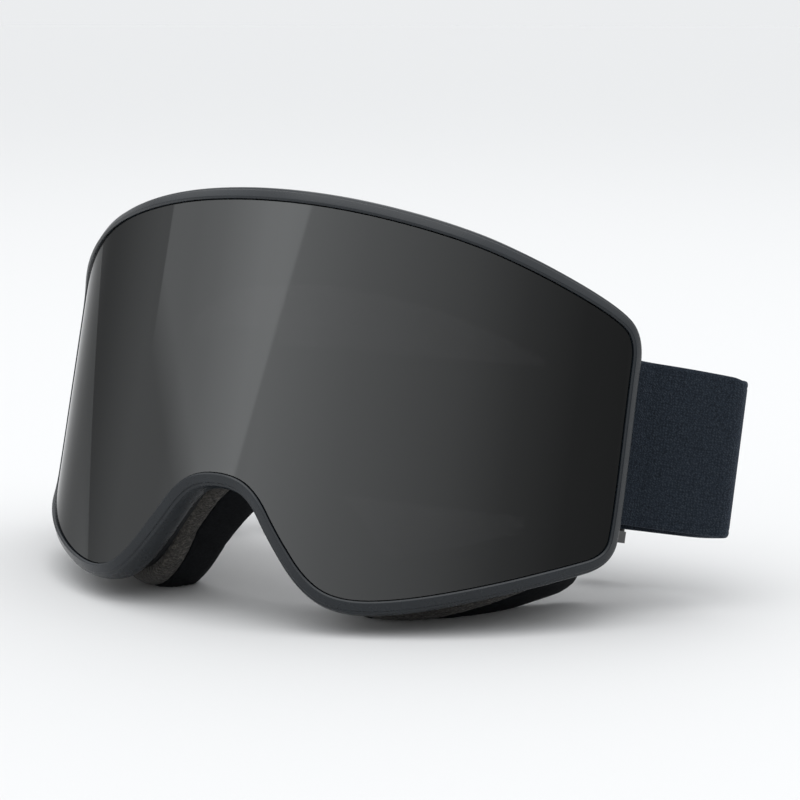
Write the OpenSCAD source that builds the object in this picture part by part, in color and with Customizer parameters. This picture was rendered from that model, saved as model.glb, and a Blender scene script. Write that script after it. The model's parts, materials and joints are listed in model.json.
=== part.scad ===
// Ski goggles: a frameless-look cylindrical double lens held by magnets in a soft
// frame, three layers of face foam, pivoting strap clips and one elastic strap.
//
// The goggles are drawn upright around the axis of the lens cylinder: X is the
// wearer's left, Y points back to the face, Z is up. Module leaned() then tips the
// whole set back so that it stands on a table on the two front lobes of the rim and
// the flat cut under the foam. The origin is under the middle of the assembly.
// Millimetres throughout.

/* [Lens] */
// Radius of the lens cylinder at its outer face
lens_r = 102; // [100:0.5:104]
// Thickness of the outer lens
lens_t = 1.4; // [1.2:0.1:1.5]
// Thickness of the inner lens
inner_lens_t = 0.8; // [0.6:0.1:0.8]
// Air gap between the two lenses, filled at the edge by the gasket
air_gap = 1.9; // [1.7:0.1:2]
// Gap between the edge of the lens and the rim
edge_gap = 0.3; // [0.2:0.05:0.5]

/* [Frame] */
// How far the rim reaches out from the edge of the lens
rim_w = 3.7; // [3:0.1:4.5]
// How far the bevel of the rim stands in front of the lens
rim_proud = 1; // [0.6:0.1:1.4]
// Depth of the rim, from the face of the lens to its back
rim_d = 8; // [8:0.1:8.5]
// Thickness of the frame's wall
wall_t = 2; // [1.6:0.1:2.4]
// Width of the flange that the foam is glued to
flange_w = 10; // [8:0.5:11]

/* [Foam] */
// Share of the depth behind the rim that the frame's wall takes up
wall_share = 0.33; // [0.3:0.01:0.36]
// Share of the depth at which the sponge layer ends and the face foam starts
sponge_share = 0.56; // [0.5:0.01:0.6]
// Radius of the face that the foam fits
face_r = 75; // [75:1:80]
// Where the foam's back is at the middle, measured from the axis of the lens
face_y = -69.5; // [-70:0.5:-68]
// How far the foam under the cheeks reaches below the rim, when stood on a table
foam_drop = 4.1; // [3.5:0.1:4.5]

/* [Strap] */
// Width of the elastic
strap_w = 40.5; // [40:0.5:41]
// Thickness of the elastic
strap_t = 1.8; // [1.5:0.1:1.9]
// Height of the strap's lower edge above the nose
strap_z = 1.4; // [1.2:0.1:1.6]
// How far behind the lens axis' level the rear run lies
strap_back = -14; // [-15:0.5:-13]
// Distance of each adjuster from the middle
adjuster_x = 59; // [57:1:61]

/* [Pose] */
// How far the goggles lean back on the table
lean = 15; // [14:0.5:16]

/* [Hidden] */
$fn = 48;

// Colours
rim_colour = [0.13, 0.15, 0.18];
frame_colour = [0.09, 0.1, 0.12];
foam_colour = [0.05, 0.05, 0.06];
sponge_colour = [0.25, 0.23, 0.21];
strap_colour = [0.1, 0.12, 0.17];
steel_colour = [0.6, 0.61, 0.63];

// ---- outline of the lens, on the unrolled cylinder: [along the arc, height] ----

// Corner points of the wearer's left half, from the brow to the top of the nose
half_outline = [
    [18, 67.5], [52.5, 63], [74, 57], [96, 49], [100, 44.5], [100, 35.5], [100.5, 0],
    [99.5, -7], [89.5, -11], [70, -18.5], [51, -24.5], [37.5, -26.5], [28.5, -23.5],
    [19, -13], [12.5, -4], [5.5, 0]
];
corners = concat(half_outline,
    [for (i = [len(half_outline) - 1:-1:0]) [-half_outline[i].x, half_outline[i].y]]);
// Number of points round the outline
rounds = 144;
// Points over which the inside of a corner is eased
ease = 5;

function at(list, i) = list[(i + len(list) * 2) % len(list)];
function unit(v) = v / norm(v);
function sum(list) = list * [for (v = list) 1];
function blend(a, b, t) = a * (1 - t) + b * t;

// A smooth closed curve that touches the middle of each side of its corner points
function smooth_curve(p, steps) = [
    for (i = [0:len(p) - 1], k = [0:steps - 1])
        let (t = k / steps, a = (at(p, i - 1) + p[i]) / 2, b = (p[i] + at(p, i + 1)) / 2)
        blend(blend(a, p[i], t), blend(p[i], b, t), t)
];
// The same curve with its points an equal distance apart
function even_curve(p, n) =
    let (
        gaps = [for (i = [0:len(p) - 1]) norm(at(p, i + 1) - p[i])],
        runs = [for (i = 0, s = 0; i <= len(p); s = s + (i < len(p) ? gaps[i] : 0), i = i + 1) s],
        xs = [for (i = [0:len(p)]) [runs[i], at(p, i).x]],
        ys = [for (i = [0:len(p)]) [runs[i], at(p, i).y]],
        total = runs[len(p)]
    )
    [for (i = [0:n - 1]) [lookup(total * i / n, xs), lookup(total * i / n, ys)]];
function left_normals(p) = [
    for (i = [0:len(p) - 1])
        let (d = unit(at(p, i + 1) - at(p, i - 1))) [-d.y, d.x]
];
function eased(list, k) = [
    for (i = [0:len(list) - 1])
        let (part = [for (j = [-k:k]) at(list, i + j)])
        [sum([for (v = part) v.x]), sum([for (v = part) v.y])] / (2 * k + 1)
];

outline = even_curve(smooth_curve(corners, 8), rounds);
out_dir = left_normals(outline);
in_dir = eased(out_dir, ease);

function angle_at(u) = u / lens_r * 180 / PI;
// The place that is o outside the outline and d in front of the face of the lens
function on_lens(i, o, d) =
    let (p = at(outline, i) + max(o, 0) * at(out_dir, i) + min(o, 0) * at(in_dir, i))
    [(lens_r + d) * sin(angle_at(p.x)), -(lens_r + d) * cos(angle_at(p.x)), p.y];

// ---- the foam's back, on a cylinder that fits a face ----

// Its width and height as shares of the lens, at the brow and at the cheeks
face_w_share = [0.78, 0.86];
face_h_share = [0.9, 1.1];
face_mid_z = 20;
cheek_z = -6;
cheek_h = 8;
face_outline = [
    for (p = eased(outline, 3))
        let (cheek = min(1, max(0, (cheek_z - p.y) / cheek_h)))
        [blend(face_w_share[0], face_w_share[1], cheek) * lens_r * sin(angle_at(p.x)),
         face_mid_z + face_h_share[p.y < face_mid_z ? 1 : 0] * (p.y - face_mid_z)]
];
face_dir = eased(left_normals(face_outline), ease);
function on_face(i, w) =
    let (p = at(face_outline, i) + w * at(face_dir, i))
    [p.x, face_y + face_r - sqrt(face_r * face_r - p.x * p.x), p.y];

// The wall starts this far inside the lens edge, at the sides and under the cheeks
wall_inset = [4.5, 1];
function inset_at(i) = blend(wall_inset[0], wall_inset[1], max(0, -at(in_dir, i).y));
// Beside the nose the wall is shorter and the foam thicker
nose_i = rounds / 2;
nose_points = 24;
nose_power = 0.45;
function near_nose(i) =
    let (far = min(1, abs((i + rounds) % rounds - nose_i) / nose_points))
    (1 + cos(180 * far)) / 2;
// The place that is share t of the way from the rim's back to the face, and w
// outside the frame's outer wall
function on_wall(i, t, w) = blend(on_lens(i, w - inset_at(i), -rim_d), on_face(i, w),
    pow(t, 1 + nose_power * near_nose(i)));

// ---- sweeps ----

function ring_faces(n, m, closed) = [
    for (i = [0:n - (closed ? 1 : 2)], j = [0:m - 1])
        let (a = i * m + j, b = i * m + (j + 1) % m, c = (i + 1) % n * m + (j + 1) % m,
            d = (i + 1) % n * m + j)
        each [[a, b, c], [a, c, d]]
];
function end_faces(n, m) = [
    [for (j = [m - 1:-1:0]) j],
    [for (j = [0:m - 1]) (n - 1) * m + j]
];
module sweep(rings, closed = true) {
    n = len(rings);
    m = len(rings[0]);
    polyhedron([for (r = rings) each r],
        closed ? ring_faces(n, m, true) : concat(ring_faces(n, m, false), end_faces(n, m)));
}
// A ring round the whole outline with a section in [outside, in front] of the lens edge
module lens_ring(section) {
    sweep([for (i = [0:rounds - 1]) [for (s = section) on_lens(i, s.x, s.y)]]);
}
// A ring round the whole outline with a section in [share of depth, outside] of the wall
module wall_ring(section) {
    sweep([for (i = [0:rounds - 1]) [for (s = section) on_wall(i, s.x, s.y)]]);
}
module wall_strip(first, last, section) {
    sweep([for (i = [first:last]) [for (s = section) on_wall(i, s.x, s.y)]], false);
}
// Everything inside the outline grown by o, cut square to the lens
module lens_cutter(o) {
    front = [for (i = [0:rounds - 1]) on_lens(i, o, 3)];
    back = [for (i = [0:rounds - 1]) on_lens(i, o, -8)];
    apex = 2 * rounds;
    polyhedron(concat(front, back, [[0, -2 * lens_r, 25], [0, 0, 25]]), [
        for (i = [0:rounds - 1])
            let (j = (i + 1) % rounds)
            each [[i, j, apex], [i, j + rounds, j], [i, i + rounds, j + rounds],
                [i + rounds, apex + 1, j + rounds]]
    ]);
}
module lens_shell(front, thick) {
    low = -40;
    tall = 120;
    translate([0, 0, low]) difference() {
        cylinder(r = lens_r + front, h = tall, $fn = 180);
        translate([0, 0, -1]) cylinder(r = lens_r + front - thick, h = tall + 2, $fn = 180);
    }
}

// ---- the pose on the table ----

// Up on the table, and back along the table, in the goggles' own directions
table_up = [0, -sin(lean), cos(lean)];
table_back = [0, cos(lean), sin(lean)];
rim_section = [
    [edge_gap, rim_proud - 0.2], [edge_gap + 0.4, rim_proud], [rim_w - 1.1, rim_proud - 0.6],
    [rim_w - 0.3, rim_proud - 1.8], [rim_w, -3], [rim_w - 0.3, -6], [rim_w - 1.5, -rim_d],
    [-7.5, -rim_d], [-7.5, 2.4 - rim_d], [edge_gap, 2.4 - rim_d]
];
rim_points = [for (i = [0:rounds - 1], s = rim_section) on_lens(i, s.x, s.y)];
table_h = min([for (p = rim_points) p * table_up]) - foam_drop;
front_y = min([for (p = rim_points) p * table_back]);

module leaned() {
    translate([0, -(front_y + back_y) / 2, -table_h]) rotate([-lean, 0, 0]) children();
}
module above_table() {
    difference() {
        children();
        rotate([lean, 0, 0]) translate([-150, -200, table_h - 50]) cube([300, 300, 50]);
    }
}

// ---- webbing ----

// A polyline's corner b, rounded off with radius r
function fillet(a, b, c, r) =
    let (
        p = unit(a - b), q = unit(c - b), half = acos(p * q) / 2,
        m = b + unit(p + q) * r / sin(half),
        s = b + p * r / tan(half) - m, e = b + q * r / tan(half) - m,
        a0 = atan2(s.y, s.x), turn = (atan2(e.y, e.x) - a0 + 540) % 360 - 180,
        n = ceil(abs(turn) / 12)
    )
    [for (k = [0:n]) m + r * [cos(a0 + turn * k / n), sin(a0 + turn * k / n)]];
function right_normals(p) = [
    for (i = [0:len(p) - 1])
        let (d = unit(p[min(i + 1, len(p) - 1)] - p[max(i - 1, 0)])) [d.y, -d.x]
];
// A layer of webbing along a path, its middle shifted sideways
module ribbon(path, shift, thick, low, tall) {
    n = right_normals(path);
    last = len(path) - 1;
    translate([0, 0, low]) linear_extrude(tall) polygon(concat(
        [for (i = [0:last]) path[i] + (shift + thick / 2) * n[i]],
        [for (i = [last:-1:0]) path[i] + (shift - thick / 2) * n[i]]));
}

// The bar that the strap goes round, the clip's pivot, and the strap's fold
bar = [78.1, -45.2];
pivot = [73.6, -40.9];
fold = [101, -25];
rear_turn = [86, strap_back];
fold_r = 2.9;
layer_gap = 0.2;
layer_shift = (strap_t + layer_gap) / 2;
bar_r = 1.5;
eye_len = 9;
strap_start = bar + unit(fold - bar) * (eye_len + 2.5);
side_path = concat([strap_start], fillet(strap_start, fold, rear_turn, fold_r),
    fillet(fold, rear_turn, [0, strap_back], 14));
band_path = concat(side_path,
    [for (i = [len(side_path) - 1:-1:0]) [-side_path[i].x, side_path[i].y]]);
tail_path = concat(side_path, [[80, strap_back]]);

// Webbing that goes round a bar at the origin and is sewn to itself along +X
module webbing_eye(r) {
    inner = r + 0.2;
    outer = inner + strap_t;
    translate([0, 0, strap_z]) linear_extrude(strap_w) difference() {
        union() {
            circle(r = outer);
            polygon([[0.3, outer - 0.1], [5.5, strap_t], [eye_len, strap_t],
                [eye_len, -strap_t], [5.5, -strap_t], [0.3, 0.1 - outer]]);
        }
        circle(r = inner);
    }
}

// ---- adjusters ----

adjuster_w = 14;
adjuster_bar_r = 1.3;
centre_bar_r = 1.2;
fit = 0.3;
cheek_t = 3;
cheek_gap = 0.5;
band_out_y = strap_back + layer_shift + strap_t / 2;
band_in_y = band_out_y - strap_t;
outer_bar_y = band_out_y + fit + adjuster_bar_r;
centre_bar_y = band_in_y - fit - strap_t - 0.2 - centre_bar_r;
cheek_edge = 0.4;
adjuster_front = centre_bar_y - centre_bar_r - cheek_edge;
adjuster_back = outer_bar_y + adjuster_bar_r + cheek_edge;
adjuster_top = strap_z + strap_w + cheek_gap + cheek_t;
back_y = [0, adjuster_back, adjuster_top] * table_back;

// ---- clips and outriggers ----

arm_t = 1.4;
arm_r = 2.4;
pin_r = 0.9;
pin_head = [1.7, 0.3];
pin_slack = 0.05;
arm_gap = 0.3;
arm_low = strap_z - arm_gap - arm_t;
arm_high = strap_z + strap_w + arm_gap;
knuckle_gap = 0.3;
knuckle_low = arm_low + arm_t + knuckle_gap;
knuckle_high = arm_high - knuckle_gap;
plate_t = 1.6;
plate_gap = 0.3;
// The frame's outer wall beside the strap, seen from above
side_i = 35;
wall_front = on_wall(side_i, 0, 0);
wall_back = on_wall(side_i, 1, 0);
wall_dir = unit([wall_back.x - wall_front.x, wall_back.y - wall_front.y]);
wall_out = [wall_dir.y, -wall_dir.x];
function beside_wall(along, out) =
    [wall_front.x, wall_front.y] + along * wall_dir + (plate_gap + out) * wall_out;
// Where the anchor's plate lies along the wall, and its web inside that
plate_run = [2.5, 9.5];
web_run = [8, 9.4];
web_edge = [[-1.6, 0], [0.4, -1.2]];
screw_z = [8, 34];
screw_along = 4.5;
screw_r = 1;
screw_l = 3.2;
screw_head = [1.9, 0.9];

// ---- magnets ----

magnet_spots = [7, 20, 35, 51, 93, 109, 124, 137];
magnet_size = [8, 1.6, 3];
carrier_back = -5.4;
module at_magnets(d) {
    for (i = magnet_spots) {
        p = at(outline, i) - 3.5 * at(in_dir, i);
        along = unit(at(outline, i + 1) - at(outline, i - 1));
        rotate([0, 0, angle_at(p.x)]) translate([0, -(lens_r + d), p.y])
            rotate([0, -atan2(along.y, along.x), 0]) children();
    }
}
module magnet_block(grow) {
    cube(magnet_size + [grow, grow, grow], center = true);
}

// ---- frame ----

module frame_rim() {
    color(rim_colour) leaned() difference() {
        lens_ring(rim_section);
        at_magnets(carrier_back - 0.2 - magnet_size.y / 2) magnet_block(0.1);
    }
}

// The wall with its foam flange, open at the brow and cheeks for air
vent_spots = [-22, -17, -12, -7, -2, 3, 8, 13, 18, 46, 50, 54, 87, 91, 95];
module frame_chassis() {
    color(frame_colour) leaned() difference() {
        wall_ring([[0.004, 0], [wall_share, 0], [wall_share, -flange_w],
            [wall_share - 0.05, -flange_w], [wall_share - 0.07, -wall_t], [0.004, -wall_t]]);
        for (i = vent_spots) {
            mid = on_wall(i, wall_share * 0.42, -wall_t / 2);
            side = at(face_dir, i);
            translate(mid) rotate([0, -atan2(side.y, side.x), 0])
                cube([3 * wall_t, 4.5, 11], center = true);
        }
    }
}
vent_section = [[0.03, -wall_t - 0.1], [wall_share - 0.1, -wall_t - 0.1],
    [wall_share - 0.1, -wall_t - 1.3], [0.03, -wall_t - 1.3]];
module vent_mesh_top() {
    color(foam_colour) leaned() wall_strip(-25, 21, vent_section);
}
module vent_mesh_right() {
    color(foam_colour) leaned() wall_strip(43, 57, vent_section);
}
module vent_mesh_left() {
    color(foam_colour) leaned() wall_strip(84, 98, vent_section);
}
module frame_magnets() {
    color(steel_colour) leaned()
        at_magnets(carrier_back - 0.2 - magnet_size.y / 2) magnet_block(0);
}

// ---- foam ----

glue = 0.004;
module foam_sponge() {
    color(sponge_colour) leaned() above_table() wall_ring([
        [wall_share + glue, -0.5], [sponge_share, -0.2], [sponge_share, -flange_w - 0.5],
        [wall_share + glue, -flange_w + 0.3]
    ]);
}
module foam_face() {
    color(foam_colour) leaned() above_table() wall_ring([
        [sponge_share + glue, 0], [sponge_share + 0.1, 0.9], [0.9, 0.9], [0.96, -0.4],
        [0.97, -2.5], [0.97, -flange_w + 1], [0.94, -flange_w - 1.4],
        [sponge_share + 0.12, -flange_w - 1.2], [sponge_share + glue, -flange_w - 0.5]
    ]);
}
module face_fleece() {
    color(foam_colour) leaned() above_table() wall_ring([
        [0.975, -2.5], [1.005, -3], [1.01, -flange_w / 2], [1.005, -flange_w + 1.5],
        [0.975, -flange_w + 1]
    ]);
}

// ---- strap anchors ----

// A plate on the wall with a knuckle that the pin is fixed in
module right_outrigger() {
    plate = [beside_wall(plate_run[0], 0), beside_wall(plate_run[1], 0),
        beside_wall(plate_run[1], plate_t), beside_wall(plate_run[0], plate_t)];
    web = [beside_wall(web_run[0], 0.1), beside_wall(web_run[1], 0.1), pivot + web_edge[0],
        pivot + web_edge[1], beside_wall(web_run[0], 1)];
    difference() {
        translate([0, 0, knuckle_low]) linear_extrude(knuckle_high - knuckle_low) union() {
            polygon(plate);
            polygon(web);
            translate(pivot) circle(r = arm_r);
        }
        translate([pivot.x, pivot.y, knuckle_low - 1])
            cylinder(r = pin_r, h = knuckle_high - knuckle_low + 2);
        at_screws() cylinder(r = screw_r + 0.1, h = 3 * plate_t, center = true);
    }
}
module at_screws() {
    spot = beside_wall(screw_along, plate_t);
    for (z = screw_z) translate([spot.x, spot.y, z])
        rotate([0, 0, atan2(wall_out.y, wall_out.x)]) rotate([0, 90, 0]) children();
}
module frame_screw() {
    cylinder(r = screw_head[0], h = screw_head[1]);
    translate([0, 0, -screw_l]) cylinder(r = screw_r, h = screw_l + 0.1);
}
module right_pin() {
    translate([pivot.x, pivot.y, arm_low]) {
        cylinder(r = pin_r, h = arm_high + arm_t - arm_low);
        translate([0, 0, -pin_head[1]]) cylinder(r = pin_head[0], h = pin_head[1]);
    }
}
module right_clip() {
    reach = norm(bar - pivot);
    turn = atan2(bar.y - pivot.y, bar.x - pivot.x);
    difference() {
        union() {
            for (z = [arm_low, arm_high]) translate([pivot.x, pivot.y, z]) {
                cylinder(r = arm_r, h = arm_t);
                rotate([0, 0, turn]) {
                    translate([0, -arm_r + 0.4, 0]) cube([reach, 2 * arm_r - 0.8, arm_t]);
                    translate([reach, 0, 0]) cylinder(r = arm_r - 0.4, h = arm_t);
                }
            }
            translate([bar.x, bar.y, arm_low]) cylinder(r = bar_r, h = arm_high - arm_low + 1);
        }
        translate([pivot.x, pivot.y, arm_low - 1])
            cylinder(r = pin_r + pin_slack, h = arm_high - arm_low + arm_t + 2);
    }
}
module right_loop() {
    way = fold - bar;
    translate(bar) rotate([0, 0, atan2(way.y, way.x)]) webbing_eye(bar_r);
}
module on_left() { mirror([1, 0, 0]) children(); }

// The plates follow the wall where it swells under the cheeks
module clear_of_wall() {
    difference() {
        children();
        wall_ring([[0, 0.2], [1, 0.2], [1, -3], [0, -3]]);
    }
}

module outrigger_left() { color(frame_colour) leaned() clear_of_wall() right_outrigger(); }
module outrigger_right() {
    color(frame_colour) leaned() clear_of_wall() on_left() right_outrigger();
}
module pivot_pin_left() { color(steel_colour) leaned() right_pin(); }
module pivot_pin_right() { color(steel_colour) leaned() on_left() right_pin(); }
module strap_clip_left() { color(rim_colour) leaned() right_clip(); }
module strap_clip_right() { color(rim_colour) leaned() on_left() right_clip(); }
module strap_loop_left() { color(strap_colour) leaned() right_loop(); }
module strap_loop_right() { color(strap_colour) leaned() on_left() right_loop(); }
module outrigger_screws() {
    color(steel_colour) leaned() {
        at_screws() frame_screw();
        on_left() at_screws() frame_screw();
    }
}

// ---- strap ----

module strap_band() {
    color(strap_colour) leaned() ribbon(band_path, layer_shift, strap_t, strap_z, strap_w);
}
module side_tail() { ribbon(tail_path, -layer_shift, strap_t, strap_z, strap_w); }
module strap_tail_left() { color(strap_colour) leaned() side_tail(); }
module strap_tail_right() { color(strap_colour) leaned() on_left() side_tail(); }
// Silicone lines on the side of the rear run that meets the helmet
module strap_grips() {
    grip_l = 52;
    grip_w = 2.4;
    grip_t = 0.5;
    color(rim_colour) leaned() for (z = [0.2, 0.5, 0.8])
        translate([-grip_l / 2, band_in_y - grip_t, strap_z + z * strap_w - grip_w / 2])
            cube([grip_l, grip_t, grip_w]);
}

// A rectangle with round corners, w by d, about the origin
function round_corners(w, d, r) = [
    for (c = [[1, 1, 0], [-1, 1, 90], [-1, -1, 180], [1, -1, 270]], a = [0:15:90])
        [c.x * (w / 2 - r) + r * cos(c.z + a), c.y * (d / 2 - r) + r * sin(c.z + a)]
];
module side_adjuster() {
    corner_r = 1.6;
    for (z = [strap_z - cheek_gap - cheek_t, strap_z + strap_w + cheek_gap])
        translate([adjuster_x, (adjuster_front + adjuster_back) / 2, z])
            linear_extrude(cheek_t) polygon(
                round_corners(adjuster_w, adjuster_back - adjuster_front, corner_r));
    side_x = adjuster_w / 2 - adjuster_bar_r - cheek_edge;
    bars = [[side_x, outer_bar_y, adjuster_bar_r], [-side_x, outer_bar_y, adjuster_bar_r],
        [0, centre_bar_y, centre_bar_r]];
    for (b = bars) translate([adjuster_x + b.x, b.y, strap_z - cheek_gap - 1])
        cylinder(r = b.z, h = strap_w + 2 * cheek_gap + 2);
}
module side_tail_end() {
    translate([adjuster_x, centre_bar_y, 0]) webbing_eye(centre_bar_r);
}
module adjuster_left() { color(rim_colour) leaned() side_adjuster(); }
module adjuster_right() { color(rim_colour) leaned() on_left() side_adjuster(); }
module tail_end_left() { color(strap_colour) leaned() side_tail_end(); }
module tail_end_right() { color(strap_colour) leaned() on_left() side_tail_end(); }

// ---- lens ----

carrier_in = -6.5;
gasket_in = -10;
glass_back = -lens_t - air_gap;
module lens_outer() {
    color([0.2, 0.21, 0.22]) leaned() intersection() {
        lens_shell(0, lens_t);
        lens_cutter(0);
    }
}
module lens_inner() {
    color([0.5, 0.52, 0.5]) leaned() intersection() {
        lens_shell(glass_back, inner_lens_t);
        lens_cutter(carrier_in - 0.3);
    }
}
module lens_gasket() {
    color(foam_colour) leaned() lens_ring([
        [carrier_in - 0.4, -lens_t - 0.1], [carrier_in - 0.4, glass_back + 0.1],
        [gasket_in, glass_back + 0.1], [gasket_in, -lens_t - 0.1]
    ]);
}
module lens_carrier() {
    color(frame_colour) leaned() difference() {
        lens_ring([
            [-0.4, -lens_t - 0.1], [-0.4, carrier_back], [carrier_in, carrier_back],
            [carrier_in, -lens_t - 0.1]
        ]);
        at_magnets(carrier_back + magnet_size.y / 2) magnet_block(0.1);
    }
}
module lens_magnets() {
    color(steel_colour) leaned() at_magnets(carrier_back + magnet_size.y / 2) magnet_block(0);
}

frame_rim();
frame_chassis();
frame_magnets();
vent_mesh_top();
vent_mesh_left();
vent_mesh_right();
foam_sponge();
foam_face();
face_fleece();
outrigger_left();
outrigger_right();
outrigger_screws();
pivot_pin_left();
pivot_pin_right();
strap_clip_left();
strap_clip_right();
strap_loop_left();
strap_loop_right();
strap_band();
strap_tail_left();
strap_tail_right();
strap_grips();
adjuster_left();
adjuster_right();
tail_end_left();
tail_end_right();
lens_outer();
lens_inner();
lens_gasket();
lens_carrier();
lens_magnets();
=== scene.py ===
"""Looks for the ski goggles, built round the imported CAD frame.

The goggles are worked out upright, in millimetres, round the axis of the lens cylinder: X is
the wearer's left, Y points back to the face and Z is up. placed() then leans them back on the
table, as the CAD model stands, and turns millimetres into metres.
"""

import json
import math

import bmesh
import bpy
import numpy as np
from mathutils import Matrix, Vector, geometry


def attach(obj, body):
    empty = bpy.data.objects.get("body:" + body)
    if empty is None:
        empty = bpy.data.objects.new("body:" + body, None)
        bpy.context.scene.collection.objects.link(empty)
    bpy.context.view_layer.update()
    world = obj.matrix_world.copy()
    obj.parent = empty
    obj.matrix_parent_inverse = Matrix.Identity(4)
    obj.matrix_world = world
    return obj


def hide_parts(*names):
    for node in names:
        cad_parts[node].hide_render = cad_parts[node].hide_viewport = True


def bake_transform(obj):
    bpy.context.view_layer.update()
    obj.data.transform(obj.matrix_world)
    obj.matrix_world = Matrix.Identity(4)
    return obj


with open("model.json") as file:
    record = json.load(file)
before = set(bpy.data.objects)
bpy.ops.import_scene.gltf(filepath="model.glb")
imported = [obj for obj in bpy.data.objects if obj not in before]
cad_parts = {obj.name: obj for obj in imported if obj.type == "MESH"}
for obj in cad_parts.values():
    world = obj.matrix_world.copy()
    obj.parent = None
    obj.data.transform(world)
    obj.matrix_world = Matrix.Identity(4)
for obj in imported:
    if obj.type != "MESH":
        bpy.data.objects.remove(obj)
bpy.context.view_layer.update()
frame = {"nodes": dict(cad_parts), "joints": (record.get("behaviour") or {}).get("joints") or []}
NODES = frame["nodes"]
JOINTS = {j["name"]: j for j in frame["joints"]}

# ---------------------------------------------------------------- sizes, in millimetres

LENS_R = 102.0
LENS_T = 1.4
INNER_LENS_T = 0.8
AIR_GAP = 1.9
EDGE_GAP = 0.3
# The gap at the front, where the rim's soft lip closes on the lens
SEEN_GAP = 0.12
RIM_W = 3.7
RIM_D = 8.0
SHELF_IN = -7.5
SHELF_T = 2.4
WALL_T = 2.0
FLANGE_W = 10.0
WALL_SHARE = 0.33
SPONGE_SHARE = 0.56
FACE_R = 75.0
FACE_Y = -69.5
STRAP_W = 40.5
STRAP_T = 1.8
STRAP_Z = 1.4
STRAP_BACK = -14.0
ADJUSTER_X = 59.0
LEAN = math.radians(15)
PIVOT = np.array([73.6, -40.9])
BAR = np.array([78.1, -45.2])
FOLD = np.array([101.0, -25.0])
REAR_TURN = np.array([86.0, STRAP_BACK])
BAR_R = 1.5
CENTRE_BAR_R = 1.2
EYE_SLACK = 0.2
FOLD_R = 2.9
REAR_TURN_R = 14
LAYER_SHIFT = (STRAP_T + 0.2) / 2
ADJUSTER_GAP = 0.3

# Points round a ring, and the CAD model's own number, which its lengths in points refer to
ROUNDS = 720
CAD_ROUNDS = 144
HALF_OUTLINE = [
    (18, 67.5), (52.5, 63), (74, 57), (96, 49), (100, 44.5), (100, 35.5), (100.5, 0),
    (99.5, -7), (89.5, -11), (70, -18.5), (51, -24.5), (37.5, -26.5), (28.5, -23.5),
    (19, -13), (12.5, -4), (5.5, 0),
]

# ---------------------------------------------------------------- place in the row frame

TABLE_UP = np.array([0, -math.sin(LEAN), math.cos(LEAN)])
TABLE_BACK = np.array([0, math.cos(LEAN), math.sin(LEAN)])
strap_middle_z = STRAP_Z + STRAP_W / 2
pivot_upright = np.array([PIVOT[0], PIVOT[1], strap_middle_z])
pivot_row = np.array(JOINTS["clip_left_pivot"]["pos_m"]) * 1000
SHIFT = np.array([0, pivot_row[1] - pivot_upright @ TABLE_BACK,
                  pivot_row[2] - pivot_upright @ TABLE_UP])


def placed(points):
    """Upright points in millimetres, as places in the row frame in metres."""
    return (turned(points) + SHIFT) / 1000


def turned(directions):
    """Upright directions, leant back as the goggles are."""
    d = np.asarray(directions, float)
    return np.stack([d[..., 0], d @ TABLE_BACK, d @ TABLE_UP], axis=-1)


# ---------------------------------------------------------------- the outline and the wall

def smooth_curve(corners, steps):
    """A closed curve that touches the middle of each side of its corner points."""
    p = np.asarray(corners, float)
    before = (np.roll(p, 1, 0) + p) / 2
    after = (p + np.roll(p, -1, 0)) / 2
    t = (np.arange(steps) / steps)[None, :, None]
    first = before[:, None] * (1 - t) + p[:, None] * t
    second = p[:, None] * (1 - t) + after[:, None] * t
    return (first * (1 - t) + second * t).reshape(-1, 2)


def even_curve(points, count):
    """The closed curve with count points at even distances."""
    closed = np.vstack([points, points[:1]])
    runs = np.concatenate([[0], np.cumsum(np.linalg.norm(np.diff(closed, axis=0), axis=1))])
    spots = runs[-1] * np.arange(count) / count
    return np.stack([np.interp(spots, runs, closed[:, k]) for k in range(2)], axis=-1)


def left_normals(p):
    d = np.roll(p, -1, 0) - np.roll(p, 1, 0)
    d /= np.linalg.norm(d, axis=1, keepdims=True)
    return np.stack([-d[:, 1], d[:, 0]], axis=-1)


def eased(values, cad_reach):
    """A running average over cad_reach of the CAD model's points each way."""
    reach = round((cad_reach + 0.5) * len(values) / CAD_ROUNDS)
    total = sum(np.roll(values, k, 0) for k in range(-reach, reach + 1))
    return total / (2 * reach + 1)


def mixed(a, b, t):
    return a * (1 - t) + b * t


corners = HALF_OUTLINE + [(-x, y) for x, y in reversed(HALF_OUTLINE)]
OUTLINE = even_curve(smooth_curve(corners, 40), ROUNDS)
# Reach of the running averages of directions and of the outline, in the CAD model's points
EASE_DIR = 5
EASE_OUTLINE = 3
OUT_DIR = left_normals(OUTLINE)
IN_DIR = eased(OUT_DIR, EASE_DIR)


def flat_at(outside):
    """The outline grown by outside, one number or one for each point, on the unrolled lens."""
    o = np.reshape(outside, (-1, 1))
    return OUTLINE + np.maximum(o, 0) * OUT_DIR + np.minimum(o, 0) * IN_DIR


def rolled(flat, front):
    """Unrolled places as places that stand front before the lens's face."""
    angle = flat[:, 0] / LENS_R
    r = LENS_R + front
    return np.stack([r * np.sin(angle), -r * np.cos(angle), flat[:, 1]], axis=-1)


def on_lens(outside, front):
    return rolled(flat_at(outside), front)


FACE_W_SHARE = (0.78, 0.86)
FACE_H_SHARE = (0.9, 1.1)
FACE_MID_Z = 20.0
CHEEK_Z = -6.0
CHEEK_H = 8.0
# How far the wall starts inside the rim: at the brow and sides, and at the cheeks
WALL_INSETS = (4.5, 1.0)
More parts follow.
